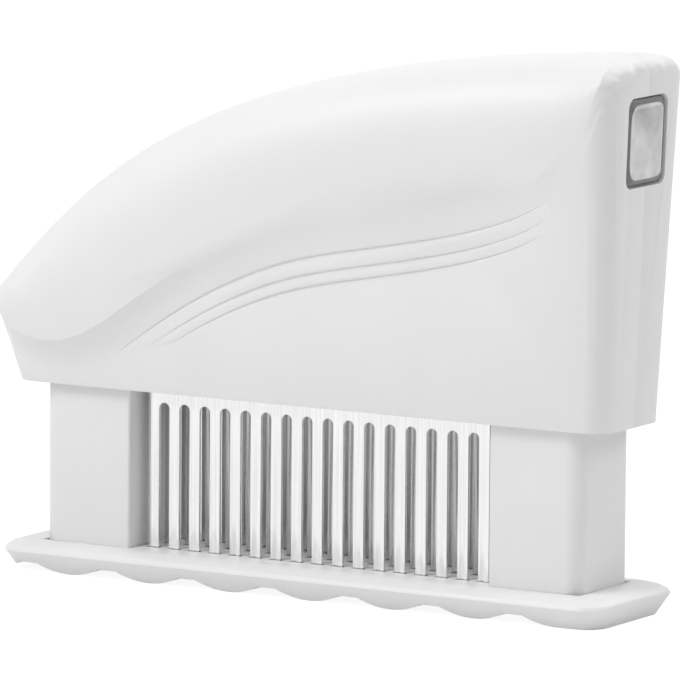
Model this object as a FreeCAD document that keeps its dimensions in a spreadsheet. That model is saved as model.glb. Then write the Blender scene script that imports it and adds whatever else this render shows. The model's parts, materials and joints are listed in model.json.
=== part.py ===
import FreeCAD, Part
import math
import os

V = FreeCAD.Vector

# Blade meat tenderizer. X runs along the length, Y from front to back, Z up.
# The origin is on the worktop, under the middle of the whole object's length. The shapes are
# drawn about the middle of the base plate and moved along by frame_shift when they are written.
doc = FreeCAD.newDocument("tenderizer")
sheet = doc.addObject("Spreadsheet::Sheet", "Sizes")

SIZES = [
    # Base plate
    ("base_length", 152.0), ("base_depth", 35.5), ("base_corner", 6.7),
    ("plate_top", 6.5), ("edge_height", 4.4), ("under_inset", 2.6), ("shoulder_inset", 4.5),
    ("foot_depth", 2.0), ("foot_pitch", 20.3), ("foot_flat", 4.6),
    # Columns
    ("column_width", 22.2), ("column_depth", 22.7), ("column_centre", 56.1),
    ("column_corner", 3.9), ("column_wall", 2.0), ("column_socket", 1.5), ("column_top", 53.5),
    ("column_slope_drop", 6.0), ("shoulder_top", 38.5), ("shoulder_thickness", 2.5),
    ("slide_clearance", 0.3), ("fit_clearance", 0.05),
    # Handle housing
    ("frame_shift", 2.03), ("housing_bottom", 41.5), ("housing_length", 147.4), ("housing_depth", 26.8),
    ("side_draft", 3.2), ("end_draft", 2.1), ("left_lean", 19.8), ("housing_corner", 5.3),
    ("grip_width", 35.2), ("crest_rise", 79.7), ("tip_rise", 18.9), ("swoosh_end_drop", 7.2),
    ("cove_height", 8.0), ("shell_wall", 1.7), ("rib_thickness", 1.6), ("groove_width", 1.5),
    ("groove_depth", 0.6), ("groove_spacing", 4.2), ("end_wall", 2.2), ("guide_height", 11.0),
    ("seat_reach", 7.0), ("press_rib_spacing", 22.0), ("ledge_start", 1.6), ("shell_boss_radius", 4.6),
    # Badge
    ("badge_width", 16.8), ("badge_height", 19.2), ("badge_centre", 102.6), ("badge_recess", 1.1),
    ("badge_thickness", 1.0), ("badge_corner", 2.2), ("badge_gap", 0.25),
    # Blade pack
    ("finger_pitch", 5.17), ("finger_width", 2.58), ("blade_thickness", 0.8), ("row_pitch", 6.7),
    ("slot_top", 38.4), ("blade_tip", 3.0), ("tip_height", 4.0), ("header_top", 61.0),
    ("clamp_bottom", 44.0), ("clamp_top", 60.0), ("clamp_length", 84.0), ("clamp_thickness", 3.4),
    ("slot_margin", 0.35), ("bolt_radius", 1.5), ("bolt_spacing", 30.0), ("bolt_height", 52.0),
    ("bolt_head_radius", 2.8), ("bolt_head_height", 1.8),
    # Springs and guide posts
    ("spring_seat", 76.0), ("seat_thickness", 6.0), ("post_radius", 3.0), ("collar_radius", 4.4),
    ("collar_height", 2.0), ("spring_radius", 5.4), ("spring_wire", 1.1), ("spring_turns", 7.0),
    ("washer_radius", 5.2), ("washer_thickness", 1.2), ("stop_clearance", 0.2),
    # Screws
    ("screw_radius", 1.5), ("screw_head_radius", 2.8), ("screw_head_height", 1.8),
    ("boss_radius", 3.0), ("stop_screw_length", 9.0), ("base_screw_length", 10.0),
    ("base_screw_offset", 6.6), ("shell_screw_length", 18.0), ("shell_screw_seat", 9.0),
]
FINGERS = 17
ROWS = (-1, 0, 1)

for row, (alias, value) in enumerate(SIZES, start=1):
    sheet.set("A%d" % row, alias)
    sheet.set("B%d" % row, str(value))
    sheet.setAlias("B%d" % row, alias)
doc.recompute()


def size(alias):
    return float(sheet.get(alias))


# The crease under the grip: distance from the left end, height above the housing's bottom edge
CREASE = [(-4.0, 16.6), (-1.5, 13.6), (4.0, 10.9), (11.0, 9.8), (19.0, 11.6), (30.0, 18.3),
          (44.5, 27.8), (57.3, 34.4), (70.1, 39.2), (89.8, 43.4), (111.8, 47.3), (124.0, 50.3),
          (133.0, 54.0), (140.6, 60.2), (145.0, 66.4), (147.4, 72.5)]


def note(obj, label):
    obj.Label = label
    return obj


def bind(obj, bindings):
    for path, expression in bindings.items():
        obj.setExpression(path, expression)
    return obj


def box(name, length, width, height, corner):
    obj = doc.addObject("Part::Box", name)
    return bind(obj, {"Length": length, "Width": width, "Height": height,
                      "Placement.Base.x": corner[0], "Placement.Base.y": corner[1],
                      "Placement.Base.z": corner[2]})


ALONG_Y = FreeCAD.Rotation(V(1, 0, 0), -90)
UPWARDS = FreeCAD.Rotation()


def cylinder(name, radius, height, base, turn=UPWARDS):
    obj = doc.addObject("Part::Cylinder", name)
    obj.Placement = FreeCAD.Placement(V(0, 0, 0), turn)
    return bind(obj, {"Radius": radius, "Height": height, "Placement.Base.x": base[0],
                      "Placement.Base.y": base[1], "Placement.Base.z": base[2]})


def fuse(name, pieces):
    obj = doc.addObject("Part::MultiFuse", name)
    obj.Shapes = pieces
    return obj


def cut(name, base, tool):
    obj = doc.addObject("Part::Cut", name)
    obj.Base = base
    obj.Tool = tool
    return obj


def common(name, pieces):
    obj = doc.addObject("Part::MultiCommon", name)
    obj.Shapes = pieces
    return obj


def group(name, pieces):
    obj = doc.addObject("Part::Compound", name)
    obj.Links = pieces
    return obj


def shaped(name, shape):
    obj = doc.addObject("Part::Feature", name)
    obj.Shape = shape
    return obj


def rounded_rectangle(half_x, half_y, radius, z):
    """Closed wire in a level plane, straight sides and quarter-round corners."""
    radius = min(radius, 0.9 * half_x, 0.9 * half_y)
    edges = []
    corners = [(1, 1), (-1, 1), (-1, -1), (1, -1)]
    diagonal = radius * math.sqrt(0.5)
    points = []
    for sx, sy in corners:
        cx = sx * (half_x - radius)
        cy = sy * (half_y - radius)
        along_x = V(cx, cy + sy * radius, z)
        along_y = V(cx + sx * radius, cy, z)
        middle = V(cx + sx * diagonal, cy + sy * diagonal, z)
        points.append((along_y, middle, along_x) if sx * sy > 0 else (along_x, middle, along_y))
    for i, (start, middle, end) in enumerate(points):
        edges.append(Part.Arc(start, middle, end).toShape())
        edges.append(Part.LineSegment(end, points[(i + 1) % 4][0]).toShape())
    return Part.Wire(edges)


# Base plate: undercut edge, rounded shoulder, ridged underside, sockets and blade slots

def plate_blank():
    half_x = size("base_length") / 2
    half_y = size("base_depth") / 2
    corner = size("base_corner")
    edge = size("edge_height")
    top = size("plate_top")
    inset = size("shoulder_inset")
    under = size("under_inset")
    lower = Part.makeLoft([
        rounded_rectangle(half_x - under, half_y - under, corner - under / 2, 0),
        rounded_rectangle(half_x, half_y, corner, edge)], True, True)
    levels = []
    for step in range(5):
        angle = math.radians(22.5 * step)
        shift = inset * (1 - math.cos(angle))
        level = edge + (top - edge) * math.sin(angle)
        levels.append(rounded_rectangle(half_x - shift, half_y - shift, corner, level))
    upper = Part.makeLoft(levels, True, True)
    return lower.fuse(upper).removeSplitter()


def valley_cutter(x):
    """Groove across the underside between two ridges, with rounded flanks."""
    depth = size("foot_depth")
    flat = size("foot_flat") / 2
    reach = size("foot_pitch") / 2 - 0.25
    half_y = size("base_depth") / 2 + 1
    right = [V(x + flat, -half_y, depth), V(x + flat + 0.45 * (reach - flat), -half_y, 0.31 * depth),
             V(x + reach, -half_y, 0)]
    left = [V(2 * x - p.x, p.y, p.z) for p in right]
    edges = [Part.LineSegment(left[0], right[0]).toShape(), Part.Arc(*right).toShape(),
             Part.LineSegment(right[2], V(x + reach, -half_y, -1)).toShape(),
             Part.LineSegment(V(x + reach, -half_y, -1), V(x - reach, -half_y, -1)).toShape(),
             Part.LineSegment(V(x - reach, -half_y, -1), left[2]).toShape(),
             Part.Arc(left[2], left[1], left[0]).toShape()]
    return Part.Face(Part.Wire(edges)).extrude(V(0, 2 * half_y, 0))


def plate_valleys():
    count = int((size("base_length") - 8) // size("foot_pitch"))
    start = -size("foot_pitch") * (count - 1) / 2 - 0.35 * size("foot_pitch")
    return Part.makeCompound([valley_cutter(start + i * size("foot_pitch")) for i in range(count)])


def finger_xs():
    pitch = size("finger_pitch")
    return [pitch * (i - (FINGERS - 1) / 2) for i in range(FINGERS)]


def plate_slots():
    margin = size("slot_margin")
    width = size("finger_width") + 2 * margin
    depth = size("blade_thickness") + 2 * margin
    slots = []
    for row in ROWS:
        y = row * size("row_pitch")
        for x in finger_xs():
            corner = V(x - width / 2, y - depth / 2, -1)
            slots.append(Part.makeBox(width, depth, size("plate_top") + 2, corner))
    return Part.makeCompound(slots)


blank = shaped("plate_blank", plate_blank())
valleys = shaped("plate_valleys", plate_valleys())
slots = shaped("plate_slots", plate_slots())
SIDES = (("left", -1), ("right", 1))
sockets = []
for side, sign in SIDES:
    sockets.append(box("socket_" + side, "Sizes.column_width + 2 * Sizes.fit_clearance",
                       "Sizes.column_depth + 2 * Sizes.fit_clearance", "Sizes.column_socket + 1",
                       ("%d * Sizes.column_centre - Sizes.column_width / 2 - Sizes.fit_clearance" % sign,
                        "-Sizes.column_depth / 2 - Sizes.fit_clearance",
                        "Sizes.plate_top - Sizes.column_socket")))
SCREW_CORNERS = ((-1, -1), (1, 1))


def base_screw_place(sign, sx, sy):
    return ("%d * Sizes.column_centre + %d * Sizes.base_screw_offset" % (sign, sx),
            "%d * Sizes.base_screw_offset" % sy)


HEAD_ROOM = "Sizes.screw_head_radius + Sizes.slide_clearance"
SCREW_SEAT = "Sizes.foot_depth + Sizes.screw_head_height / 2"
plate_holes = []
base_screws = []
for side, sign in SIDES:
    for sx, sy in SCREW_CORNERS:
        x, y = base_screw_place(sign, sx, sy)
        tag = "%s_%d" % (side, len(base_screws))
        plate_holes.append(cylinder("screw_hole_" + tag, "Sizes.screw_radius + Sizes.fit_clearance",
                                    "Sizes.plate_top + 2", (x, y, "-1")))
        plate_holes.append(cylinder("screw_recess_" + tag, HEAD_ROOM, SCREW_SEAT + " + 1", (x, y, "-1")))
        head = cylinder("base_screw_head_" + tag, "Sizes.screw_head_radius", "Sizes.screw_head_height",
                        (x, y, SCREW_SEAT + " - Sizes.screw_head_height"))
        shank = cylinder("base_screw_shank_" + tag, "Sizes.screw_radius", "Sizes.base_screw_length",
                         (x, y, SCREW_SEAT))
        base_screws.append(fuse("base_screw_" + tag, [head, shank]))
plate_tools = group("plate_tools", [valleys, slots] + sockets + plate_holes)
base_plate = note(cut("base_plate", blank, plate_tools), "base_plate")
column_screws = note(group("column_screws", base_screws), "column_screws")

# Columns: hollow posts with an inner shoulder that carries the spring


def column_outline(half_x, half_y, outer_sign, radius, small, z):
    """Rectangle with large rounds on the outer side and small ones on the inner side."""
    points = []
    for sx, sy in [(1, 1), (-1, 1), (-1, -1), (1, -1)]:
        r = radius if sx == outer_sign else small
        cx = sx * (half_x - r)
        cy = sy * (half_y - r)
        along_x = V(cx, cy + sy * r, z)
        along_y = V(cx + sx * r, cy, z)
        middle = V(cx + sx * r * math.sqrt(0.5), cy + sy * r * math.sqrt(0.5), z)
        points.append((along_y, middle, along_x) if sx * sy > 0 else (along_x, middle, along_y))
    edges = []
    for i, (start, middle, end) in enumerate(points):
        edges.append(Part.Arc(start, middle, end).toShape())
        edges.append(Part.LineSegment(end, points[(i + 1) % 4][0]).toShape())
    return Part.Face(Part.Wire(edges))


INNER_ROUND = 0.6


def column_body(sign):
    """One post, its top sloped on the left so that it clears the low end of the roof."""
    half_x = size("column_width") / 2
    half_y = size("column_depth") / 2
    wall = size("column_wall")
    bottom = size("plate_top") - size("column_socket")
    top = size("column_top")
    shoulder = size("shoulder_top")
    under = shoulder - size("shoulder_thickness")
    solid = column_outline(half_x, half_y, sign, size("column_corner"), INNER_ROUND, bottom)
    solid = solid.extrude(V(0, 0, top - bottom))
    hollow = column_outline(half_x - wall, half_y - wall, sign, size("column_corner") - wall / 2,
                            INNER_ROUND, bottom - 1)
    lower = hollow.extrude(V(0, 0, under - bottom + 1))
    for sx, sy in SCREW_CORNERS:
        place = V(sx * size("base_screw_offset"), sy * size("base_screw_offset"), bottom)
        boss = Part.makeCylinder(size("boss_radius"), size("base_screw_length"), place)
        lower = lower.cut(boss)
    upper = hollow.translated(V(0, 0, shoulder - bottom + 1)).extrude(V(0, 0, top - shoulder + 1))
    solid = solid.cut(lower).cut(upper)
    post_room = size("post_radius") + size("slide_clearance")
    solid = solid.cut(Part.makeCylinder(post_room, shoulder, V(0, 0, bottom)))
    for sx, sy in SCREW_CORNERS:
        place = V(sx * size("base_screw_offset"), sy * size("base_screw_offset"), bottom - 1)
        bore_radius = size("screw_radius") + size("fit_clearance")
        solid = solid.cut(Part.makeCylinder(bore_radius, size("base_screw_length"), place))
    if sign < 0:
        drop = size("column_slope_drop")
        far = half_y + 1
        side = half_x + 1
        corners = [(-side, top - drop), (0, top), (side, top), (side, top + 2), (-side, top + 2),
                   (-side, top - drop)]
        slope = Part.makePolygon([V(x, -far, z) for x, z in corners])
        solid = solid.cut(Part.Face(slope).extrude(V(0, 2 * far, 0)))
    return solid


columns = []
for side, sign in SIDES:
    column = shaped(side + "_column", column_body(sign))
    column.Placement = FreeCAD.Placement(V(sign * size("column_centre"), 0, 0), UPWARDS)
    columns.append(note(column, side + "_column"))


# Handle housing. Its stations lean with the two end faces and carry one half section each

def spline_height(points):
    curve = Part.BSplineCurve()
    curve.interpolate([V(x, 0, z) for x, z in points])
    samples = [curve.value(curve.FirstParameter + (curve.LastParameter - curve.FirstParameter) * i / 400)
               for i in range(401)]
    return [(p.x, p.z) for p in samples]


def read(samples, x):
    """Height of a sampled line at x, held level beyond its ends."""
    if x <= samples[0][0]:
        return samples[0][1]
    for (x0, z0), (x1, z1) in zip(samples, samples[1:]):
        if x <= x1:
            return z0 + (z1 - z0) * (x - x0) / max(x1 - x0, 1e-9)
    return samples[-1][1]


bottom = size("housing_bottom")
half_length = size("housing_length") / 2
stretch = size("housing_length") / CREASE[-1][0]
lift = (size("crest_rise") - size("swoosh_end_drop")) / CREASE[-1][1]
crease_line = spline_height([(-half_length + stretch * x, bottom + lift * z) for x, z in CREASE])
left_run = math.tan(math.radians(size("left_lean")))
right_run = math.tan(math.radians(size("end_draft")))
side_run = math.tan(math.radians(size("side_draft")))
tip_x = -half_length - left_run * size("tip_rise")
end_x = half_length + right_run * size("crest_rise")
TIP_PULL = V(23.0, 0, 32.7)
END_PULL = V(-97.0, 0, -3.9)


def crest_samples():
    start = V(tip_x, 0, bottom + size("tip_rise"))
    end = V(end_x, 0, bottom + size("crest_rise"))
    poles = [start, start + TIP_PULL * stretch, end + END_PULL * stretch, end]
    curve = Part.BezierCurve()
    curve.setPoles(poles)
    return [(curve.value(i / 400).x, curve.value(i / 400).z) for i in range(401)]


crest_line = crest_samples()


def lean_at(x):
    """Run per unit height of the station plane that meets the bottom edge at x."""
    share = (x + half_length) / (2 * half_length)
    return -left_run + (left_run + right_run) * share


def on_station(samples, x, floor_rise):
    """Height at which a leaning station meets a sampled line."""
    z = bottom + floor_rise
    for _ in range(60):
        z += 0.5 * (read(samples, x + lean_at(x) * (z - bottom)) - z)
    return z


def recess_at(distance, radius):
    """How far a round corner draws the wall in at a distance from the end face."""
    if distance >= radius:
        return 0.0
    return radius - math.sqrt(max(radius * radius - (radius - distance) ** 2, 0.0))


def cove_at(x):
    """Height of the hollow under the grip, lower towards the right end."""
    return size("cove_height") * (1 - 0.4 * max(x / half_length, 0.0) ** 2)


def grip_half_width(x, distance_left):
    middle = size("grip_width") / 2
    fade = 0.6 * (x / half_length) ** 2
    return middle - fade - 0.8 * recess_at(distance_left, TIP_ROUND)


TIP_ROUND = 9.0
CROWN_ROUND = 0.9
ARCH_POWER = 2.7
ARCH_POINTS = 9
MIDDLE_STEPS = 18
LEFT_CROWDING = 1.35


def arch(width, foot, crest):
    """Points of the grip's crown from the middle plane out to its widest line."""
    points = []
    for i in range(ARCH_POINTS + 1):
        angle = math.radians(90.0 * i / ARCH_POINTS)
        y = width * math.sin(angle) ** (2 / ARCH_POWER)
        z = foot + (crest - foot) * math.cos(angle) ** (2 / ARCH_POWER)
        points.append((y, z))
    return points


def half_section(x, inset=0.0, lower=0.0):
    """Half wire on the front side of one station, drawn in by the wall for the cavity."""
    lean = lean_at(x)
    left_gap = x + half_length
    right_gap = half_length - x
    crest = on_station(crest_line, x, size("tip_rise"))
    crease = min(on_station(crease_line, x, 10.0), crest - 1.2)
    corner = size("housing_corner")
    end_recess = recess_at(right_gap, corner)
    recess = recess_at(left_gap, corner) + end_recess
    cove = min(cove_at(x), 0.75 * (crease - bottom))

    def wall_y(z):
        return size("housing_depth") / 2 + side_run * (z - bottom) - recess - inset

    grip = max(grip_half_width(x, left_gap) - end_recess - inset, wall_y(crease) + 0.05)
    crest -= 1.3 * inset + CROWN_ROUND * end_recess
    crease_z = min(crease, crest - 0.8)
    foot = crease_z + 0.25 * (crest - crease_z)

    def place(y, z):
        return V(x + lean * (z - bottom), -y, z)

    crown = [place(y, z) for y, z in arch(grip, foot, crest)]
    spline = Part.BSplineCurve()
    spline.interpolate(crown)
    edge_top = place(grip, foot)
    edge = place(grip - 0.15, crease_z)
    wall_top = place(wall_y(crease_z - cove), crease_z - cove)
    depth = grip - wall_y(crease_z)
    bend = place(wall_y(crease_z - 0.5 * cove) + 0.25 * depth, crease_z - 0.5 * cove)
    wall_foot = place(wall_y(bottom - lower), bottom - lower)
    centre_foot = place(0, bottom - lower)
    edges = [spline.toShape(), Part.LineSegment(edge_top, edge).toShape(),
             Part.Arc(edge, bend, wall_top).toShape(), Part.LineSegment(wall_top, wall_foot).toShape(),
             Part.LineSegment(wall_foot, centre_foot).toShape(),
             Part.LineSegment(centre_foot, crown[0]).toShape()]
    return Part.Wire(edges)


def stations(margin, corner_steps):
    """Places along the bottom edge, close together where the ends round off and on the left."""
    low = -half_length + margin
    high = half_length - margin
    corner = size("housing_corner")
    turns = [math.radians(90.0 * i / corner_steps) for i in range(corner_steps + 1)]
    rounds = [corner * (1 - math.cos(turn)) for turn in turns]
    start = low + corner
    end = high - corner
    middle = [start + (end - start) * (i / MIDDLE_STEPS) ** LEFT_CROWDING for i in range(1, MIDDLE_STEPS)]
    return [low + d for d in rounds] + middle + [high - d for d in reversed(rounds)]


outer_wires = [half_section(x) for x in stations(0.0, 5)]
outer_front = shaped("outer_front", Part.makeLoft(outer_wires, True, True))
cavity_places = stations(size("end_wall"), 1)
cavity_wires = [half_section(x, size("shell_wall"), 1.0) for x in cavity_places]
cavity_front = shaped("cavity_front", Part.makeLoft(cavity_wires, True, True))


def mirrored(name, source):
    obj = doc.addObject("Part::Mirroring", name)
    obj.Source = source
    obj.Normal = V(0, 1, 0)
    return obj


# Ribs inside the housing: column guides, press ribs, spring seats, ledges and screw bosses
WIDE = "2 * Sizes.grip_width"
ribs = []
for side, sign in SIDES:
    for edge, out in (("outer", 1), ("inner", -1)):
        face = "%d * Sizes.column_centre + %d * (Sizes.column_width / 2 + Sizes.slide_clearance)" % (
            sign, sign * out)
        shift = "" if sign * out > 0 else " - Sizes.rib_thickness"
        height = "Sizes.guide_height" if out > 0 else "Sizes.spring_seat - Sizes.housing_bottom"
        ribs.append(box("%s_%s_guide" % (side, edge), "Sizes.rib_thickness", WIDE, height,
                        (face + shift, "-Sizes.grip_width", "Sizes.housing_bottom")))
    ribs.append(box(side + "_seat_block", "2 * Sizes.seat_reach", WIDE, "Sizes.seat_thickness",
                    ("%d * Sizes.column_centre - Sizes.seat_reach" % sign, "-Sizes.grip_width",
                     "Sizes.spring_seat")))
for place in (-1, 0, 1):
    ribs.append(box("press_rib_%d" % (place + 2), "Sizes.rib_thickness", WIDE, "Sizes.crest_rise",
                    ("%d * Sizes.press_rib_spacing - Sizes.rib_thickness / 2" % place,
                     "-Sizes.grip_width", "Sizes.header_top")))
for name, sign in (("front", -1), ("rear", 1)):
    near = "Sizes.row_pitch + Sizes.blade_thickness / 2 + Sizes.ledge_start"
    corner_y = near if sign > 0 else "-(" + near + ") - Sizes.grip_width"
    ribs.append(box("ledge_" + name, "Sizes.clamp_length", "Sizes.grip_width", "Sizes.rib_thickness",
                    ("-Sizes.clamp_length / 2", corner_y, "Sizes.clamp_bottom - Sizes.rib_thickness")))
# Places of the shell screws as shares of the housing's length and of its height above the bottom edge
SHELL_SCREWS = ((-0.2035, 0.3325), (0.2035, 0.3325), (0.0543, 0.7089), (0.4071, 0.7591))
screw_tools = []
shell_screws = []
for number, (along, up) in enumerate(SHELL_SCREWS, start=1):
    px = "Sizes.housing_length * %.4f" % along
    pz = "Sizes.housing_bottom + Sizes.crest_rise * %.4f" % up
    ribs.append(cylinder("shell_boss_%d" % number, "Sizes.shell_boss_radius", WIDE,
                         (px, "-Sizes.grip_width", pz), ALONG_Y))
    screw_tools.append(cylinder("shell_pilot_%d" % number, "Sizes.screw_radius + Sizes.fit_clearance",
                                "Sizes.shell_screw_length + 1",
                                (px, "Sizes.shell_screw_seat - Sizes.shell_screw_length - 1", pz), ALONG_Y))
    screw_tools.append(cylinder("shell_recess_%d" % number, HEAD_ROOM, "Sizes.grip_width",
                                (px, "Sizes.shell_screw_seat", pz), ALONG_Y))
    head = cylinder("shell_screw_head_%d" % number, "Sizes.screw_head_radius", "Sizes.screw_head_height",
                    (px, "Sizes.shell_screw_seat", pz), ALONG_Y)
    shank = cylinder("shell_screw_shank_%d" % number, "Sizes.screw_radius", "Sizes.shell_screw_length",
                     (px, "Sizes.shell_screw_seat - Sizes.shell_screw_length", pz), ALONG_Y)
    shell_screws.append(fuse("shell_screw_%d" % number, [head, shank]))
rib_set = fuse("rib_set", ribs)

# Guide posts with their collars, and the room they need in the seat blocks
posts = []
washers = []
stop_screws = []
springs = []
post_rooms = []
POST_FOOT = "Sizes.shoulder_top - Sizes.shoulder_thickness - Sizes.stop_clearance"
WASHER_FOOT = POST_FOOT + " - Sizes.washer_thickness"
for side, sign in SIDES:
    x = "%d * Sizes.column_centre" % sign
    top = "Sizes.spring_seat + Sizes.seat_thickness"
    rod = cylinder(side + "_post_rod", "Sizes.post_radius", top + " - (" + POST_FOOT + ")",
                   (x, "0", POST_FOOT))
    collar_foot = "Sizes.spring_seat + Sizes.seat_thickness / 2 - Sizes.collar_height / 2"
    collar = cylinder(side + "_post_collar", "Sizes.collar_radius", "Sizes.collar_height",
                      (x, "0", collar_foot))
    bore = cylinder(side + "_post_bore", "Sizes.screw_radius + Sizes.fit_clearance",
                    "Sizes.stop_screw_length", (x, "0", POST_FOOT))
    post = cut(side + "_guide_post", fuse(side + "_post_body", [rod, collar]), bore)
    posts.append(note(post, side + "_guide_post"))
    post_rooms.append(cylinder(side + "_rod_room", "Sizes.post_radius + Sizes.fit_clearance",
                               "Sizes.seat_thickness + 0.2", (x, "0", "Sizes.spring_seat - 0.1")))
    post_rooms.append(cylinder(side + "_collar_room", "Sizes.collar_radius + Sizes.fit_clearance",
                               "Sizes.collar_height", (x, "0", collar_foot)))
    disc = cylinder(side + "_washer_disc", "Sizes.washer_radius", "Sizes.washer_thickness",
                    (x, "0", WASHER_FOOT))
    hole = cylinder(side + "_washer_hole", "Sizes.screw_radius + Sizes.fit_clearance",
                    "Sizes.washer_thickness", (x, "0", WASHER_FOOT))
    washers.append(note(cut(side + "_stop_washer", disc, hole), side + "_stop_washer"))
    head = cylinder(side + "_stop_head", "Sizes.screw_head_radius", "Sizes.screw_head_height",
                    (x, "0", WASHER_FOOT + " - Sizes.screw_head_height"))
    shank = cylinder(side + "_stop_shank", "Sizes.screw_radius", "Sizes.stop_screw_length - 1",
                     (x, "0", WASHER_FOOT))
    stop_screws.append(note(fuse(side + "_stop_screw", [head, shank]), side + "_stop_screw"))


def spring_shape():
    """Helix swept with a round wire, standing on the shoulder and reaching the seat."""
    wire_radius = size("spring_wire") / 2
    low = size("shoulder_top") + wire_radius
    height = size("spring_seat") - size("shoulder_top") - 2 * wire_radius
    radius = size("spring_radius")
    helix = Part.makeLongHelix(height / size("spring_turns"), height, radius)
    helix.translate(V(0, 0, low))
    start = V(radius, 0, low)
    circle = Part.Wire(Part.makeCircle(wire_radius, start, V(0, 1, 0)))
    return Part.Wire(helix.Edges).makePipeShell([circle], True, True)


coil = spring_shape()
coil_pitch = (size("spring_seat") - size("shoulder_top") - size("spring_wire")) / size("spring_turns")
print("least gap between the spring's turns: %.2f mm" % (coil_pitch - size("spring_wire")))
for side, sign in SIDES:
    spring = shaped(side + "_spring", coil.copy())
    spring.Placement = FreeCAD.Placement(V(sign * size("column_centre"), 0, 0), UPWARDS)
    springs.append(note(spring, side + "_spring"))

# Badge: a bright plate, left blank, sunk into the tall end


def end_rectangle(half_y, half_z, radius, depth):
    """Rounded outline on a plane parallel to the tall end face, at a depth below it."""
    wire = rounded_rectangle(half_z, half_y, radius, -depth)
    rise = size("badge_centre") - size("housing_bottom")
    turn = FreeCAD.Rotation(V(0, 1, 0), 90 + size("end_draft"))
    wire.Placement = FreeCAD.Placement(V(half_length + right_run * rise, 0, size("badge_centre")), turn)
    return wire


def end_plate(half_y, half_z, radius, levels):
    """Solid through rounded outlines: each level is a depth and how far it is drawn in."""
    wires = [end_rectangle(half_y - inset, half_z - inset, max(radius - inset / 2, 0.4), depth)
             for depth, inset in levels]
    return Part.makeLoft(wires, True, True)


badge_half_y = size("badge_width") / 2
badge_half_z = size("badge_height") / 2
badge_room = shaped("badge_room", end_plate(badge_half_y, badge_half_z, size("badge_corner"),
                                            [(size("badge_recess"), 0), (-3.0, 0)]))
badge_top = size("badge_recess") - size("badge_thickness")
gap = size("badge_gap")
end_badge = shaped("end_badge", end_plate(badge_half_y - gap, badge_half_z - gap, size("badge_corner"), [
    (size("badge_recess"), 0), (badge_top + 0.5, 0), (badge_top, 1.0), (badge_top - 0.25, 2.2)]))
note(end_badge, "end_badge")

# Three tapering grooves under the cove on each side
GROOVE_SPANS = ((-45.5, 61.0), (-38.5, 60.0), (-33.0, 59.0))
GROOVE_SECTIONS = 26
CUT_MARGIN = 0.5


def groove_cutter(number, span):
    """Shallow V with a steep upper flank that follows the crease and fades at both ends."""
    wires = []
    low, high = (v * stretch for v in span)
    for i in range(GROOVE_SECTIONS + 1):
        share = i / GROOVE_SECTIONS
        x = low + (high - low) * share
        fade = max(math.sin(math.pi * share) ** 0.55, 0.12)
        drop = cove_at(x) + 0.2 + number * size("groove_spacing") * (1 - 0.12 * number)
        z = read(crease_line, x) - drop
        y = size("housing_depth") / 2 + side_run * (z - bottom)
        width = size("groove_width") * fade
        depth = size("groove_depth") * fade
        top = V(x, -y - CUT_MARGIN, z + 0.5 * width)
        apex = V(x, -y + depth, z + 0.15 * width)
        foot = V(x, -y - CUT_MARGIN, z - 1.5 * width)
        wires.append(Part.makePolygon([top, apex, foot, top]))
    return Part.makeLoft(wires, True, True)


groove_cutters = [groove_cutter(number, span) for number, span in enumerate(GROOVE_SPANS)]
grooves = shaped("grooves_front", Part.makeCompound(groove_cutters))
shells = []
tools = group("housing_tools", screw_tools + post_rooms + [badge_room])
for name, outer_half, cavity_half, groove_half in (
        ("front", outer_front, cavity_front, grooves),
        ("rear", mirrored("outer_rear", outer_front), mirrored("cavity_rear", cavity_front),
         mirrored("grooves_rear", grooves))):
    skin = cut(name + "_skin", outer_half, cavity_half)
    inside = common(name + "_ribs", [outer_half, rib_set])
    ribbed = fuse(name + "_ribbed", [skin, inside])
    bored = cut(name + "_bored", ribbed, tools)
    shells.append(note(cut(name + "_shell", bored, groove_half), name + "_shell"))

# Blade pack: three combs, two spacers and two clamp bars on three bolts


def comb_shape():
    """One stamped strip: a header above round-topped slots, each finger ending in a chisel tip."""
    pitch = size("finger_pitch")
    half = pitch * (FINGERS - 1) / 2 + size("finger_width") / 2
    thickness = size("blade_thickness")
    tip = size("blade_tip")
    strip = Part.makeBox(2 * half, thickness, size("header_top") - tip, V(-half, -thickness / 2, tip))
    gap_half = (pitch - size("finger_width")) / 2
    point_half = pitch / 2 - 0.2
    neck = tip + size("tip_height")
    ceiling = size("slot_top") - gap_half
    cutters = []
    for i in range(FINGERS + 1):
        x = pitch * (i - FINGERS / 2)
        open_end = [V(x + gap_half, 0, neck), V(x + point_half, 0, tip), V(x + point_half, 0, tip - 1),
                    V(x - point_half, 0, tip - 1), V(x - point_half, 0, tip), V(x - gap_half, 0, neck)]
        if 0 < i < FINGERS:
            left = V(x - gap_half, 0, ceiling)
            right = V(x + gap_half, 0, ceiling)
            round_top = Part.Arc(left, V(x, 0, size("slot_top")), right).toShape()
            sides = Part.makePolygon([right] + open_end + [left])
            outline = Part.Wire([round_top] + sides.Edges)
        else:
            outline = Part.makePolygon(open_end + open_end[:1])
        cutter = Part.Face(outline).extrude(V(0, thickness + 2, 0))
        cutters.append(cutter.translated(V(0, -thickness / 2 - 1, 0)))
    for place in ROWS:
        start = V(place * size("bolt_spacing"), -thickness / 2 - 1, size("bolt_height"))
        radius = size("bolt_radius") + size("fit_clearance")
        cutters.append(Part.makeCylinder(radius, thickness + 2, start, V(0, 1, 0)))
    return strip.cut(Part.makeCompound(cutters))


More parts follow.
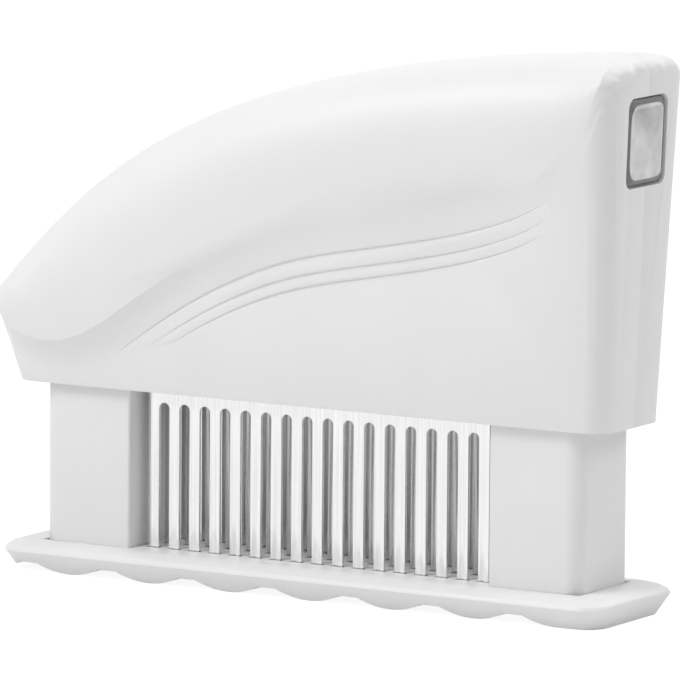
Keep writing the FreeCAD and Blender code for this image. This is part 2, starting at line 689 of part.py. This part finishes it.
comb = comb_shape()
combs = []
for name, row in zip(("front", "middle", "rear"), ROWS):
    blade = shaped("blade_comb_" + name, comb.copy())
    blade.Placement = FreeCAD.Placement(V(0, row * size("row_pitch"), 0), UPWARDS)
    combs.append(note(blade, "blade_comb_" + name))
HALF_PACK = "(Sizes.row_pitch + Sizes.blade_thickness / 2 + Sizes.clamp_thickness)"
bolt_holes = []
bolts = []
nuts = []
for number, place in enumerate(ROWS, start=1):
    at = ("%d * Sizes.bolt_spacing" % place, "-" + HALF_PACK, "Sizes.bolt_height")
    bolt_holes.append(cylinder("bolt_hole_%d" % number, "Sizes.bolt_radius + Sizes.fit_clearance",
                               "2 * " + HALF_PACK, at, ALONG_Y))
    room = "Sizes.bolt_head_radius + Sizes.slide_clearance"
    bolt_holes.append(cylinder("bolt_head_room_%d" % number, room, "Sizes.bolt_head_height", at, ALONG_Y))
    nut_at = (at[0], HALF_PACK + " - Sizes.bolt_head_height", at[2])
    bolt_holes.append(cylinder("nut_room_%d" % number, room, "Sizes.bolt_head_height", nut_at, ALONG_Y))
    head = cylinder("bolt_head_%d" % number, "Sizes.bolt_head_radius", "Sizes.bolt_head_height", at,
                    ALONG_Y)
    shank = cylinder("bolt_shank_%d" % number, "Sizes.bolt_radius", "2 * " + HALF_PACK, at, ALONG_Y)
    bolts.append(fuse("bolt_%d" % number, [head, shank]))
    prism = doc.addObject("Part::Prism", "nut_prism_%d" % number)
    prism.Polygon = 6
    prism.Placement = FreeCAD.Placement(V(0, 0, 0), ALONG_Y)
    bind(prism, {"Circumradius": "Sizes.bolt_head_radius", "Height": "Sizes.bolt_head_height",
                 "Placement.Base.x": nut_at[0], "Placement.Base.y": nut_at[1], "Placement.Base.z": nut_at[2]})
    thread = cylinder("nut_thread_%d" % number, "Sizes.bolt_radius + Sizes.fit_clearance",
                      "Sizes.bolt_head_height", nut_at, ALONG_Y)
    nuts.append(cut("nut_%d" % number, prism, thread))
pack_tools = group("pack_tools", bolt_holes)
bars = []
for name, low, thick in (
        ("front_clamp_bar", "-" + HALF_PACK, "Sizes.clamp_thickness"),
        ("front_spacer_bar", "-Sizes.row_pitch + Sizes.blade_thickness / 2",
         "Sizes.row_pitch - Sizes.blade_thickness"),
        ("rear_spacer_bar", "Sizes.blade_thickness / 2", "Sizes.row_pitch - Sizes.blade_thickness"),
        ("rear_clamp_bar", HALF_PACK + " - Sizes.clamp_thickness", "Sizes.clamp_thickness")):
    bar = box(name + "_blank", "Sizes.clamp_length", thick, "Sizes.clamp_top - Sizes.clamp_bottom",
              ("-Sizes.clamp_length / 2", low, "Sizes.clamp_bottom"))
    bars.append(note(cut(name, bar, pack_tools), name))
pack_bolts = note(group("pack_bolts", bolts), "pack_bolts")
pack_nuts = note(group("pack_nuts", nuts), "pack_nuts")
shell_screw_set = note(group("shell_screws", shell_screws), "shell_screws")

parts = ([base_plate, column_screws] + columns + shells + [shell_screw_set, end_badge] + combs + bars
         + [pack_bolts, pack_nuts] + posts + washers + stop_screws + springs)
doc.recompute()
faults = [obj.Name for obj in doc.Objects if "Invalid" in obj.State or "Error" in obj.State]
faults += [piece.Label for piece in parts if piece.Shape.isNull() or not piece.Shape.isValid()]
if faults:
    raise RuntimeError("failed objects: " + ", ".join(faults))
os.makedirs("parts", exist_ok=True)
frame_shift = V(size("frame_shift"), 0, 0)
for piece in parts:
    print(piece.Label, len(piece.Shape.Solids), "solid", round(piece.Shape.Volume), "mm3")
    piece.Shape.translated(frame_shift).exportStep("parts/%s.step" % piece.Label)
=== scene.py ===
import json
import math

import bpy
from mathutils import Matrix, Vector


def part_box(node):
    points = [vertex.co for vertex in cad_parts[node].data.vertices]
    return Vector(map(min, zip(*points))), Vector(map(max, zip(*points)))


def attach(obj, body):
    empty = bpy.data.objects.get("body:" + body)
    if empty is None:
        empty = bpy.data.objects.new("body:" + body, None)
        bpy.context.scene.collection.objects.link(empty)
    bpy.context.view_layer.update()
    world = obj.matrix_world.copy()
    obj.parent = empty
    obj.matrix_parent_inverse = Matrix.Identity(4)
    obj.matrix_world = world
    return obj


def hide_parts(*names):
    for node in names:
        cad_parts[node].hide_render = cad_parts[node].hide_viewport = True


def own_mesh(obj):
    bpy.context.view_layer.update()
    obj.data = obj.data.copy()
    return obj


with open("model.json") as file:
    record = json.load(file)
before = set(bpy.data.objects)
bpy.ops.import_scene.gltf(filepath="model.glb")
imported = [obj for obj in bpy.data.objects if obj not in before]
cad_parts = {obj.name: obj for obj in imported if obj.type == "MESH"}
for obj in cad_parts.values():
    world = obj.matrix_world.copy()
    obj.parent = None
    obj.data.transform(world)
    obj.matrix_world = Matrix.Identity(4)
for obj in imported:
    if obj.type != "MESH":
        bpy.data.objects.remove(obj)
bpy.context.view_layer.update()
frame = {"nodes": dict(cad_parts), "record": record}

scene = bpy.context.scene
MM = 0.001

# Viewpoint of the photograph
PHOTO_SIDE = 680
CAMERA_AZIMUTH = math.radians(30.8)
CAMERA_ELEVATION = math.radians(7.9)
CAMERA_ROLL = math.radians(0.44)
CAMERA_DISTANCE = 1.95
CAMERA_TARGET = Vector((0.00203, 0.0, 0.060))
PIXELS_PER_MM = 4.65
TARGET_PIXEL = (335.26, 314.3)
SENSOR_WIDTH = 36.0
CLIP_END = 20.0


def add_camera():
    """Long lens at the photograph's viewpoint, with a small shift for its framing."""
    data = bpy.data.cameras.new("photo_camera")
    camera = bpy.data.objects.new("photo_camera", data)
    scene.collection.objects.link(camera)
    level = math.cos(CAMERA_ELEVATION)
    away = Vector((math.sin(CAMERA_AZIMUTH) * level, -math.cos(CAMERA_AZIMUTH) * level,
                   math.sin(CAMERA_ELEVATION)))
    turn = away.to_track_quat("Z", "Y").to_matrix().to_4x4()
    roll = Matrix.Rotation(CAMERA_ROLL, 4, "Z")
    camera.matrix_world = Matrix.Translation(CAMERA_TARGET + away * CAMERA_DISTANCE) @ turn @ roll
    data.sensor_width = SENSOR_WIDTH
    focal_pixels = PIXELS_PER_MM * CAMERA_DISTANCE / MM
    data.lens = SENSOR_WIDTH * focal_pixels / PHOTO_SIDE
    data.shift_x = (PHOTO_SIDE / 2 - TARGET_PIXEL[0]) / PHOTO_SIDE
    data.shift_y = (TARGET_PIXEL[1] - PHOTO_SIDE / 2) / PHOTO_SIDE
    data.clip_end = CLIP_END
    scene.camera = camera


# Shader groups and materials
COARSE_DETAIL = 4.0
FINE_DETAIL = 2.0
STREAK_DETAIL = 3.0


def new_group(name, inputs, outputs):
    """An empty shader group with float inputs, and its own input and output nodes."""
    group = bpy.data.node_groups.new(name, "ShaderNodeTree")
    for label, value in inputs:
        socket = group.interface.new_socket(label, in_out="INPUT", socket_type="NodeSocketFloat")
        socket.default_value = value
    for label, kind in outputs:
        group.interface.new_socket(label, in_out="OUTPUT", socket_type=kind)
    nodes = group.nodes
    return group, nodes.new("NodeGroupInput"), nodes.new("NodeGroupOutput")


def surface_grain():
    """Uneven gloss and fine relief, with a scale for each, as a moulded or rolled surface has."""
    group, source, target = new_group(
        "surface grain",
        [("Coarse Scale", 60.0), ("Fine Scale", 1500.0), ("Roughness Low", 0.3), ("Roughness High", 0.4),
         ("Relief", 0.1)],
        [("Roughness", "NodeSocketFloat"), ("Height", "NodeSocketFloat"), ("Mottle", "NodeSocketFloat")])
    nodes, links = group.nodes, group.links
    place = nodes.new("ShaderNodeTexCoord")
    coarse = nodes.new("ShaderNodeTexNoise")
    fine = nodes.new("ShaderNodeTexNoise")
    coarse.inputs["Detail"].default_value = COARSE_DETAIL
    fine.inputs["Detail"].default_value = FINE_DETAIL
    span = nodes.new("ShaderNodeMapRange")
    relief = nodes.new("ShaderNodeMath")
    relief.operation = "MULTIPLY"
    links.new(place.outputs["Object"], coarse.inputs["Vector"])
    links.new(place.outputs["Object"], fine.inputs["Vector"])
    links.new(source.outputs["Coarse Scale"], coarse.inputs["Scale"])
    links.new(source.outputs["Fine Scale"], fine.inputs["Scale"])
    links.new(coarse.outputs["Fac"], span.inputs["Value"])
    links.new(source.outputs["Roughness Low"], span.inputs["To Min"])
    links.new(source.outputs["Roughness High"], span.inputs["To Max"])
    links.new(fine.outputs["Fac"], relief.inputs[0])
    links.new(source.outputs["Relief"], relief.inputs[1])
    links.new(span.outputs["Result"], target.inputs["Roughness"])
    links.new(relief.outputs["Value"], target.inputs["Height"])
    links.new(coarse.outputs["Fac"], target.inputs["Mottle"])
    return group


def brushed_lines():
    """Streaks along one axis, as grinding leaves on steel."""
    group, source, target = new_group(
        "brushed lines",
        [("Across", 2600.0), ("Along", 40.0), ("Roughness Low", 0.12), ("Roughness High", 0.3)],
        [("Roughness", "NodeSocketFloat"), ("Height", "NodeSocketFloat"), ("Streak", "NodeSocketFloat")])
    nodes, links = group.nodes, group.links
    place = nodes.new("ShaderNodeTexCoord")
    stretch = nodes.new("ShaderNodeCombineXYZ")
    scaled = nodes.new("ShaderNodeVectorMath")
    scaled.operation = "MULTIPLY"
    streaks = nodes.new("ShaderNodeTexNoise")
    streaks.inputs["Scale"].default_value = 1.0
    streaks.inputs["Detail"].default_value = STREAK_DETAIL
    span = nodes.new("ShaderNodeMapRange")
    for axis in ("X", "Y"):
        links.new(source.outputs["Across"], stretch.inputs[axis])
    links.new(source.outputs["Along"], stretch.inputs["Z"])
    links.new(place.outputs["Object"], scaled.inputs[0])
    links.new(stretch.outputs["Vector"], scaled.inputs[1])
    links.new(scaled.outputs["Vector"], streaks.inputs["Vector"])
    links.new(streaks.outputs["Fac"], span.inputs["Value"])
    links.new(source.outputs["Roughness Low"], span.inputs["To Min"])
    links.new(source.outputs["Roughness High"], span.inputs["To Max"])
    links.new(span.outputs["Result"], target.inputs["Roughness"])
    links.new(streaks.outputs["Fac"], target.inputs["Height"])
    links.new(streaks.outputs["Fac"], target.inputs["Streak"])
    return group


BADGE_CORNER_POWER = 6.0


def badge_rim_shade_mask():
    """Mask of painted shade and dark reflection: one on the badge's outer band, where the recess's
    shadow is painted, and fading to nothing over its middle.
    """
    group, source, target = new_group(
        "badge rim painted shade", [("Middle Y", 0.0), ("Middle Z", 0.1), ("Half Y", 0.008), ("Half Z", 0.009),
                      ("Band Start", 0.34), ("Band End", 0.44)], [("Painted Shade", "NodeSocketFloat")])
    nodes, links = group.nodes, group.links
    place = nodes.new("ShaderNodeTexCoord")
    parts = nodes.new("ShaderNodeSeparateXYZ")
    links.new(place.outputs["Object"], parts.inputs["Vector"])
    shares = []
    for axis in ("Y", "Z"):
        offset = nodes.new("ShaderNodeMath")
        offset.operation = "SUBTRACT"
        share = nodes.new("ShaderNodeMath")
        share.operation = "DIVIDE"
        power = nodes.new("ShaderNodeMath")
        power.operation = "POWER"
        power.inputs[1].default_value = BADGE_CORNER_POWER
        links.new(parts.outputs[axis], offset.inputs[0])
        links.new(source.outputs["Middle " + axis], offset.inputs[1])
        links.new(offset.outputs["Value"], share.inputs[0])
        links.new(source.outputs["Half " + axis], share.inputs[1])
        links.new(share.outputs["Value"], power.inputs[0])
        shares.append(power)
    both = nodes.new("ShaderNodeMath")
    band = nodes.new("ShaderNodeMapRange")
    band.interpolation_type = "SMOOTHSTEP"
    links.new(shares[0].outputs["Value"], both.inputs[0])
    links.new(shares[1].outputs["Value"], both.inputs[1])
    links.new(both.outputs["Value"], band.inputs["Value"])
    links.new(source.outputs["Band Start"], band.inputs["From Min"])
    links.new(source.outputs["Band End"], band.inputs["From Max"])
    links.new(band.outputs["Result"], target.inputs["Painted Shade"])
    return group


GRAIN = surface_grain()
BRUSHED = brushed_lines()

RAMP_LOW = 0.3
RAMP_HIGH = 0.7
RELIEF_DEPTH = 0.2 * MM


def finished(name, group, values, dark, light, mask, relief, metallic=0.0):
    """Principled material whose colour, gloss and relief vary with one of the shared groups."""
    material = bpy.data.materials.new(name)
    material.use_nodes = True
    nodes, links = material.node_tree.nodes, material.node_tree.links
    shader = nodes["Principled BSDF"]
    effect = nodes.new("ShaderNodeGroup")
    effect.node_tree = group
    for label, value in values.items():
        effect.inputs[label].default_value = value
    ramp = nodes.new("ShaderNodeValToRGB")
    ramp.color_ramp.elements[0].position = RAMP_LOW
    ramp.color_ramp.elements[1].position = RAMP_HIGH
    ramp.color_ramp.elements[0].color = (*dark, 1.0)
    ramp.color_ramp.elements[1].color = (*light, 1.0)
    bump = nodes.new("ShaderNodeBump")
    bump.inputs["Strength"].default_value = relief
    bump.inputs["Distance"].default_value = RELIEF_DEPTH
    links.new(effect.outputs[mask], ramp.inputs["Fac"])
    links.new(ramp.outputs["Color"], shader.inputs["Base Color"])
    links.new(effect.outputs["Roughness"], shader.inputs["Roughness"])
    links.new(effect.outputs["Height"], bump.inputs["Height"])
    links.new(bump.outputs["Normal"], shader.inputs["Normal"])
    shader.inputs["Metallic"].default_value = metallic
    return material


WHITE_PLASTIC = finished(
    "white moulded plastic", GRAIN,
    {"Coarse Scale": 45.0, "Fine Scale": 2200.0, "Roughness Low": 0.36, "Roughness High": 0.46,
     "Relief": 0.6},
    (0.855, 0.855, 0.852), (0.875, 0.875, 0.873), "Mottle", 0.05)
COLUMN_PLASTIC = finished(
    "white column plastic", GRAIN,
    {"Coarse Scale": 60.0, "Fine Scale": 1800.0, "Roughness Low": 0.32, "Roughness High": 0.42,
     "Relief": 0.6},
    (0.85, 0.852, 0.852), (0.872, 0.873, 0.873), "Mottle", 0.05)
GREY_NYLON = finished(
    "grey nylon", GRAIN,
    {"Coarse Scale": 90.0, "Fine Scale": 1600.0, "Roughness Low": 0.45, "Roughness High": 0.6,
     "Relief": 1.0},
    (0.42, 0.43, 0.44), (0.5, 0.51, 0.52), "Mottle", 0.2)
BLADE_STEEL = finished(
    "polished blade steel", BRUSHED,
    {"Across": 2800.0, "Along": 30.0, "Roughness Low": 0.1, "Roughness High": 0.26},
    (0.8, 0.8, 0.8), (0.93, 0.93, 0.93), "Streak", 0.06, metallic=1.0)
# A darker copy of the blade steel: painted shade and dark reflection for the inner rows, which stand in
# the shadow between the rows
SHADED_INNER_BLADE_STEEL = finished(
    "inner blade steel with painted shade", BRUSHED,
    {"Across": 2800.0, "Along": 30.0, "Roughness Low": 0.14, "Roughness High": 0.3},
    (0.54, 0.54, 0.545), (0.7, 0.7, 0.705), "Streak", 0.06, metallic=1.0)
PLATED_STEEL = finished(
    "plated steel", GRAIN,
    {"Coarse Scale": 300.0, "Fine Scale": 4000.0, "Roughness Low": 0.22, "Roughness High": 0.38,
     "Relief": 1.0},
    (0.6, 0.6, 0.59), (0.72, 0.71, 0.7), "Mottle", 0.1, metallic=1.0)
BADGE_CHROME = finished(
    "badge chrome", GRAIN,
    {"Coarse Scale": 200.0, "Fine Scale": 5000.0, "Roughness Low": 0.06, "Roughness High": 0.14,
     "Relief": 0.5},
    (0.46, 0.46, 0.47), (0.64, 0.64, 0.65), "Mottle", 0.05, metallic=1.0)


# Sockets of a colour Mix node, whose names repeat: first colour, second colour and result
MIX_FIRST = 6
MIX_SECOND = 7
MIX_RESULT = 2
# Colour of the painted shade and dark reflection on the badge's edge
RIM_SHADE_COLOUR = (0.16, 0.16, 0.165, 1.0)


def paint_badge_rim_shade():
    """Painted shade and dark reflection: a dark band round the badge's bright middle, painted on its
    edge where the recess round it lies in shadow.
    """
    low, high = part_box("end_badge")
    nodes, links = BADGE_CHROME.node_tree.nodes, BADGE_CHROME.node_tree.links
    rim_shade = nodes.new("ShaderNodeGroup")
    rim_shade.node_tree = badge_rim_shade_mask()
    for axis, index in (("Y", 1), ("Z", 2)):
        rim_shade.inputs["Middle " + axis].default_value = (low[index] + high[index]) / 2
        rim_shade.inputs["Half " + axis].default_value = (high[index] - low[index]) / 2
    mix = nodes.new("ShaderNodeMix")
    mix.data_type = "RGBA"
    mix.inputs[MIX_SECOND].default_value = RIM_SHADE_COLOUR
    ramp = nodes["Color Ramp"]
    links.new(rim_shade.outputs["Painted Shade"], mix.inputs["Factor"])
    links.new(ramp.outputs["Color"], mix.inputs[MIX_FIRST])
    links.new(mix.outputs[MIX_RESULT], nodes["Principled BSDF"].inputs["Base Color"])


paint_badge_rim_shade()
FINISHES = {"white_plastic": WHITE_PLASTIC, "grey_nylon": GREY_NYLON, "blade_steel": BLADE_STEEL,
            "plated_steel": PLATED_STEEL, "badge_chrome": BADGE_CHROME}
SLOT_OF = {row["node"]: row["material_slot"] for row in frame["record"]["subparts"]}
BODIES = frame["record"]["behaviour"]["bodies"]
BODY_OF = {node: body for body, nodes in BODIES.items() for node in nodes}

# How a CAD node is dressed
SMOOTH_ANGLE = math.radians(32.0)
MERGE_DISTANCE = 0.002 * MM
FLAT_ANGLE = math.radians(0.2)
FINE_EDGE = 0.12 * MM
EDGE_SEGMENTS = 2


def dress(node, edge, material):
    """A merged, smoothly shaded copy of a CAD node, its sharp edges rounded, stands for it."""
    piece = frame["nodes"][node].copy()
    piece.data = piece.data.copy()
    piece.name = node + "_finish"
    piece.parent = None
    piece.matrix_world = Matrix.Identity(4)
    scene.collection.objects.link(piece)
    bpy.ops.object.select_all(action="DESELECT")
    piece.select_set(True)
    bpy.context.view_layer.objects.active = piece
    bpy.ops.object.mode_set(mode="EDIT")
    bpy.ops.mesh.select_all(action="SELECT")
    bpy.ops.mesh.remove_doubles(threshold=MERGE_DISTANCE)
    bpy.ops.mesh.dissolve_limited(angle_limit=FLAT_ANGLE)
    bpy.ops.object.mode_set(mode="OBJECT")
    if edge:
        round_edges = piece.modifiers.new("round edges", "BEVEL")
        round_edges.width = edge
        round_edges.segments = EDGE_SEGMENTS
        round_edges.limit_method = "ANGLE"
        round_edges.angle_limit = SMOOTH_ANGLE
        bpy.ops.object.modifier_apply(modifier=round_edges.name)
    bpy.ops.object.shade_smooth_by_angle(angle=SMOOTH_ANGLE)
    piece.data.materials.clear()
    piece.data.materials.append(material or FINISHES[SLOT_OF[node]])
    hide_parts(node)
    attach(piece, BODY_OF[node])
    return piece


def shorten_with_press(spring):
    """Gives the spring its own copy of its mesh; its turns are not closed up here."""
    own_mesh(spring)


WHITE = (1.0, 1.0, 1.0, 1.0)
SOFT_STRENGTH = 0.30
SURROUND_STRENGTH = 1.0
LIGHT_AIM = Vector((0.0, 0.0, 0.06))
# Name, energy, place and size of each light, in watts and metres
LIGHTS = (
    ("key", 7.0, (-0.45, -0.75, 0.95), (0.6, 0.6)),
    ("top", 3.4, (0.0, -0.1, 1.3), (0.6, 0.6)),
    ("side", 2.2, (0.95, 0.30, 0.8), (0.5, 0.5)),
    ("front_fill", 0.6, (-0.1, -1.2, 0.35), (0.9, 0.6)),
    ("back_fill", 3.0, (0.3, 0.9, 0.8), (0.9, 0.6)),
)


def add_light(name, energy, place, size):
    """A rectangular light that faces the object."""
    data = bpy.data.lights.new(name, "AREA")
    data.energy = energy
    data.shape = "RECTANGLE"
    data.size, data.size_y = size
    light = bpy.data.objects.new(name, data)
    scene.collection.objects.link(light)
    place = Vector(place)
    turn = (place - LIGHT_AIM).to_track_quat("Z", "Y").to_matrix().to_4x4()
    light.matrix_world = Matrix.Translation(place) @ turn


def light_scene():
    """Plain soft studio light and a white surround."""
    world = bpy.data.worlds.new("studio")
    scene.world = world
    world.use_nodes = True
    nodes, links = world.node_tree.nodes, world.node_tree.links
    nodes.clear()
    output = nodes.new("ShaderNodeOutputWorld")
    soft = nodes.new("ShaderNodeBackground")
    soft.inputs["Color"].default_value = WHITE
    soft.inputs["Strength"].default_value = SOFT_STRENGTH
    white = nodes.new("ShaderNodeBackground")
    white.inputs["Color"].default_value = WHITE
    white.inputs["Strength"].default_value = SURROUND_STRENGTH
    path = nodes.new("ShaderNodeLightPath")
    seen_or_mirrored = nodes.new("ShaderNodeMath")
    seen_or_mirrored.operation = "ADD"
    seen_or_through = nodes.new("ShaderNodeMath")
    seen_or_through.operation = "ADD"
    seen_or_through.use_clamp = True
    mix = nodes.new("ShaderNodeMixShader")
    links.new(path.outputs["Is Camera Ray"], seen_or_mirrored.inputs[0])
    links.new(path.outputs["Is Glossy Ray"], seen_or_mirrored.inputs[1])
    links.new(seen_or_mirrored.outputs["Value"], seen_or_through.inputs[0])
    links.new(path.outputs["Is Transmission Ray"], seen_or_through.inputs[1])
    links.new(seen_or_through.outputs["Value"], mix.inputs["Fac"])
    links.new(soft.outputs["Background"], mix.inputs[1])
    links.new(white.outputs["Background"], mix.inputs[2])
    links.new(mix.outputs["Shader"], output.inputs["Surface"])
    for name, energy, place, size in LIGHTS:
        add_light(name, energy, place, size)


FLOOR_SIZE = 6.0
FLOOR_DROP = 0.02 * MM
FLOOR_GREY = (0.9, 0.9, 0.9, 1.0)
FLOOR_GLOW = 1.2
FLOOR_GLOW_SHARE = 0.76
FLOOR_MIRROR_SHARE = 0.62


def add_floor():
    """Plain pale floor that stays near white and keeps the soft shadow."""
    bpy.ops.mesh.primitive_plane_add(size=FLOOR_SIZE, location=(0, 0, -FLOOR_DROP))
    floor = bpy.context.active_object
    floor.name = "floor"
    material = bpy.data.materials.new("pale floor")
    material.use_nodes = True
    nodes, links = material.node_tree.nodes, material.node_tree.links
    nodes.clear()
    output = nodes.new("ShaderNodeOutputMaterial")
    matt = nodes.new("ShaderNodeBsdfDiffuse")
    matt.inputs["Color"].default_value = FLOOR_GREY
    glow = nodes.new("ShaderNodeEmission")
    glow.inputs["Strength"].default_value = FLOOR_GLOW
    path = nodes.new("ShaderNodeLightPath")
    share = nodes.new("ShaderNodeMath")
    share.operation = "MULTIPLY"
    share.inputs[1].default_value = FLOOR_GLOW_SHARE
    mix = nodes.new("ShaderNodeMixShader")
    seen = nodes.new("ShaderNodeMath")
    seen.operation = "ADD"
    seen.use_clamp = True
    links.new(path.outputs["Is Camera Ray"], seen.inputs[0])
    mirrored = nodes.new("ShaderNodeMath")
    mirrored.operation = "MULTIPLY"
    mirrored.inputs[1].default_value = FLOOR_MIRROR_SHARE
    links.new(path.outputs["Is Glossy Ray"], mirrored.inputs[0])
    links.new(mirrored.outputs["Value"], seen.inputs[1])
    links.new(seen.outputs["Value"], share.inputs[0])
    links.new(share.outputs["Value"], mix.inputs["Fac"])
    links.new(matt.outputs["BSDF"], mix.inputs[1])
    links.new(glow.outputs["Emission"], mix.inputs[2])
    links.new(mix.outputs["Shader"], output.inputs["Surface"])
    floor.data.materials.append(material)


scene.view_settings.view_transform = "Standard"
add_camera()
light_scene()
add_floor()

# The inner blade rows get a darker copy of the blade steel: painted shade and dark reflection, standing
# for the shadow between the rows that darkens the gaps between the fingers
OWN_MATERIALS = {"left_column": COLUMN_PLASTIC, "right_column": COLUMN_PLASTIC,
                 "blade_comb_middle": SHADED_INNER_BLADE_STEEL, "blade_comb_rear": SHADED_INNER_BLADE_STEEL}
for node_name in frame["nodes"]:
    sharp = SLOT_OF[node_name] in ("grey_nylon", "plated_steel")
    dressed = dress(node_name, 0.0 if sharp else FINE_EDGE, OWN_MATERIALS.get(node_name))
    if node_name.endswith("_spring"):
        shorten_with_press(dressed)
